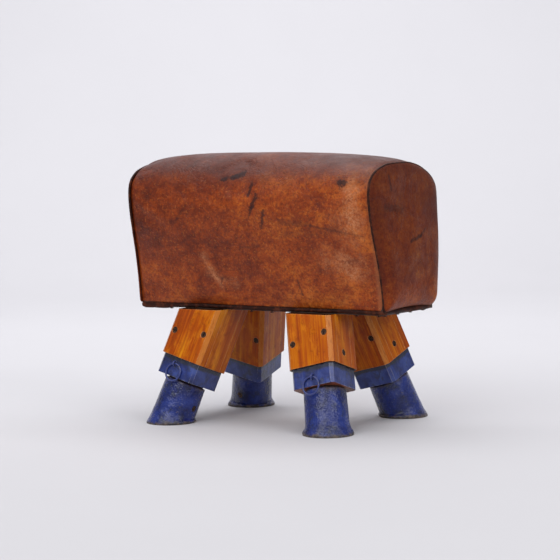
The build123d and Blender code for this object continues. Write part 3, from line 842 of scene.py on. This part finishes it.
for piece in (cover, *panels.values()):
    shell = piece.modifiers.new("thickness", "SOLIDIFY")
    shell.thickness = LEATHER_THICKNESS
    shell.offset = -1
    fine = piece.modifiers.new("fine", "SUBSURF")
    fine.levels = fine.render_levels = 1
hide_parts("leather_cover", "body_padding")
for name, panel in panels.items():
    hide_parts(f"end_panel_{name}", f"end_padding_{name}")
    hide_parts(f"piping_{name}")
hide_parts("bottom_edging")
for piece in (cover, edging, *panels.values(), *pipings.values()):
    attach(piece, "horse")

wire, steel = painted_wire(), dark_steel()
pine = frame_wood("frame_wood", rgb(150, 112, 70), rgb(104, 72, 42))
# Near-black wood for the base board and the hidden posts: painted shade on the board's edge below the edging.
shade_dark_wood = frame_wood("shade_dark_base_wood", rgb(66, 48, 34), rgb(44, 31, 24))
for leg in LEGS:
    wood = varnished_wood(leg)
    for face in ("front", "back", "left", "right"):
        repaint(f"{leg}_sleeve_{face}", wood)
    repaint(f"{leg}_block", painted_wood(leg))
    repaint(f"{leg}_post", shade_dark_wood)
    repaint(f"{leg}_foot", painted_iron(leg))
    repaint(f"{leg}_ring", wire)
    repaint(f"{leg}_staple", wire)
for node in nodes:
    if node.endswith("_screws") or node == "edging_tacks":
        repaint(node, steel)
    elif node.startswith("frame_"):
        repaint(node, pine)
repaint("base_board", shade_dark_wood)

# The studio

AZIMUTH = radians(33.358)
ELEVATION = radians(4.313)
ROLL = radians(-0.935)
DISTANCE = 3.71338
AIM = Vector((0.03765, -0.07536, 0.25996))
LENS_MM = 134.78
SENSOR_MM = 36

level = Vector((sin(AZIMUTH), -cos(AZIMUTH), 0))
sight = level * cos(ELEVATION) + Vector((0, 0, sin(ELEVATION)))
lens = bpy.data.cameras.new("camera")
lens.lens = LENS_MM
lens.sensor_width = SENSOR_MM
lens.clip_end = 60
camera = add_object("camera", lens)
look = sight.to_track_quat("Z", "Y").to_matrix().to_4x4()
camera.matrix_world = Matrix.Translation(AIM + sight * DISTANCE) @ look @ Matrix.Rotation(ROLL, 4, "Z")
bpy.context.scene.camera = camera

# The paper: where its floor ends behind the horse, the radius it curves up with, and half its width.
FLOOR_END = 2.6
SWEEP = 1.6
HALF_PAPER = 7


def backdrop():
    """Seamless paper: a floor that curves up behind the horse."""
    away, across = -level, Vector((-level.y, level.x, 0))
    profile = [(-6.0, 0.0)] + [(k * 0.25 - 2, 0.0) for k in range(19)]
    for turn in range(5, 91, 5):
        profile.append((FLOOR_END + SWEEP * sin(radians(turn)), SWEEP - SWEEP * cos(radians(turn))))
    profile.append((FLOOR_END + SWEEP, 6.0))
    vertices = []
    for run, rise in profile:
        for side in (-HALF_PAPER, 0, HALF_PAPER):
            vertices.append(away * run + across * side + Vector((0, 0, rise)))
    s = Shade("paper")
    colour = s.mix(s.noise(1.5, 3), rgb(194, 193, 196), rgb(199, 198, 201))
    paper = s.finish(colour, 0.85, (s.noise(3.0, 3), 0.001))
    sheet = add_mesh("backdrop", vertices, grid_faces(len(profile), 3), paper)


def area_light(name, place, aim, size, power, colour):
    light = bpy.data.lights.new(name, "AREA")
    light.shape = "RECTANGLE"
    light.size, light.size_y = size
    light.energy = power
    light.color = colour
    lamp = add_object(name, light)
    lamp.location = place
    lamp.rotation_euler = (Vector(place) - Vector(aim)).to_track_quat("Z", "Y").to_euler()


WHITE = (1, 1, 1)
COOL = (0.98, 0.98, 1.0)
OVER_PAPER = AIM - level * 1.4 + Vector((0, 0, 3.4))
UP_THE_PAPER = AIM - level * 4.2 + Vector((0, 0, 1.2))
# Name, place, what it points at, width and height, watts and colour.
LIGHTS = (
    ("key", (0.2, -3.3, 2.7), (0, 0, 0.25), (3.4, 2.0), 73, WHITE),
    ("side", (3.3, -1.2, 2.0), (0, 0, 0.25), (2.0, 2.0), 42, WHITE),
    ("top", (-0.2, 0.0, 3.2), (0, 0, 0.2), (4.2, 4.2), 82, COOL),
    ("paper_light", OVER_PAPER, UP_THE_PAPER, (5.0, 1.0), 142, COOL),
)

backdrop()
for light in LIGHTS:
    area_light(*light)
world = bpy.data.worlds.new("studio")
bpy.context.scene.world = world
world.use_nodes = True
sky = world.node_tree.nodes["Background"].inputs
sky["Color"].default_value = (0.95, 0.95, 1.0, 1)
sky["Strength"].default_value = 0.3
bpy.context.scene.view_settings.view_transform = "Standard"

bpy.context.view_layer.update()
